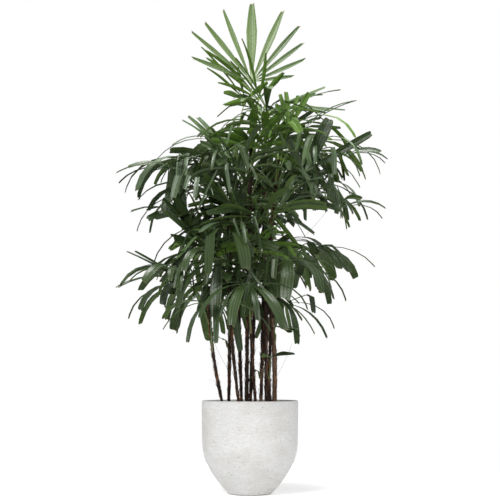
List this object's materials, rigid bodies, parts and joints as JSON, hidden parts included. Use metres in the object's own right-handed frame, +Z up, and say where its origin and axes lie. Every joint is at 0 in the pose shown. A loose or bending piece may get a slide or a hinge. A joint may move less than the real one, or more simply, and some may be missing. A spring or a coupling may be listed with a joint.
{
  "type": "potted lady palm",
  "caption": "Tall indoor fan palm in a round stone-look pot: a clump of thin upright canes with fans of drooping leaflets from top to bare lower canes.",
  "frame": {"origin": "centre of the pot's flat underside, on the surface that it stands on", "axes": "+Z up along the canes, -Y towards the front, +X to the right seen from the front"},
  "size_m": [0.9297, 0.994, 1.7914],
  "materials": {
    "pot": "matt, faintly brushed",
    "soil": "crumbly",
    "cane": "fibrous",
    "frond_young": "satin",
    "frond_grown": "satin",
    "frond_old": "satin"
  },
  "bodies": {
    "root": {"pot": "pot", "soil": "soil", "cane_left_outer": "cane", "cane_left_back": "cane", "cane_left_front": "cane", "cane_left_inner": "cane", "cane_leader": "cane", "cane_back": "cane", "cane_front": "cane", "cane_right_inner": "cane", "cane_right_front": "cane", "cane_right_back": "cane", "cane_right_outer": "cane", "cane_sprout": "cane", "frond_left_outer_1_2": "frond_old", "frond_left_outer_3_4": "frond_old", "frond_left_outer_5": "frond_old", "frond_left_back_1_2": "frond_old", "frond_left_back_3_4": "frond_old", "frond_left_back_5": "frond_grown", "frond_left_front_1_2": "frond_old", "frond_left_front_3_4": "frond_old", "frond_left_front_5": "frond_grown", "frond_left_front_6": "frond_grown", "frond_left_inner_1_2": "frond_grown", "frond_left_inner_3_4": "frond_grown", "frond_left_inner_5": "frond_grown", "frond_left_inner_6": "frond_young", "frond_leader_1_2": "frond_grown", "frond_leader_3_4": "frond_grown", "frond_leader_5_6": "frond_young", "frond_leader_7": "frond_young", "frond_leader_8": "frond_young", "frond_back_1_2": "frond_old", "frond_back_3_4": "frond_grown", "frond_back_5": "frond_grown", "frond_back_6": "frond_grown", "frond_front_1_2": "frond_old", "frond_front_3_4": "frond_old", "frond_front_5": "frond_old", "frond_right_inner_1_2": "frond_grown", "frond_right_inner_3_4": "frond_grown", "frond_right_inner_5_6": "frond_young", "frond_right_inner_7": "frond_young", "frond_right_front_1_2": "frond_grown", "frond_right_front_3_4": "frond_grown", "frond_right_front_5_6": "frond_grown", "frond_right_front_7": "frond_young", "frond_right_back_1_2": "frond_old", "frond_right_back_3_4": "frond_old", "frond_right_back_5": "frond_grown", "frond_right_outer_1_2": "frond_old", "frond_right_outer_3_4": "frond_old", "frond_right_outer_5": "frond_grown", "frond_sprout_1": "frond_old"}
  },
  "joints": []
}
